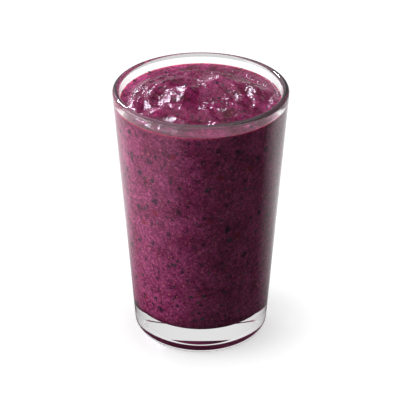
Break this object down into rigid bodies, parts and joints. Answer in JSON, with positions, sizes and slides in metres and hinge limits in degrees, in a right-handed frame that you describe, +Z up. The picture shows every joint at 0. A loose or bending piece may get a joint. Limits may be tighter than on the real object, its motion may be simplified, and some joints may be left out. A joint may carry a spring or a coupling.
{
  "type": "berry smoothie in a tumbler glass",
  "caption": "Thick berry smoothie with a folded, stirred surface, filled almost to the lip of a clear tapered tumbler with a heavy base.",
  "frame": {"origin": "centre of the foot ring, on the table", "axes": "+Z up along the glass's axis; -Y is the front; the glass is round about Z and only the smoothie's surface differs round it"},
  "size_m": [0.0848, 0.0848, 0.132],
  "materials": {
    "clear_glass": "clear, smooth, fire polished",
    "berry_smoothie": "wet, thick blended fruit with dark flecks of skin"
  },
  "bodies": {
    "root": {"glass": "clear_glass", "smoothie": "berry_smoothie"}
  },
  "joints": []
}
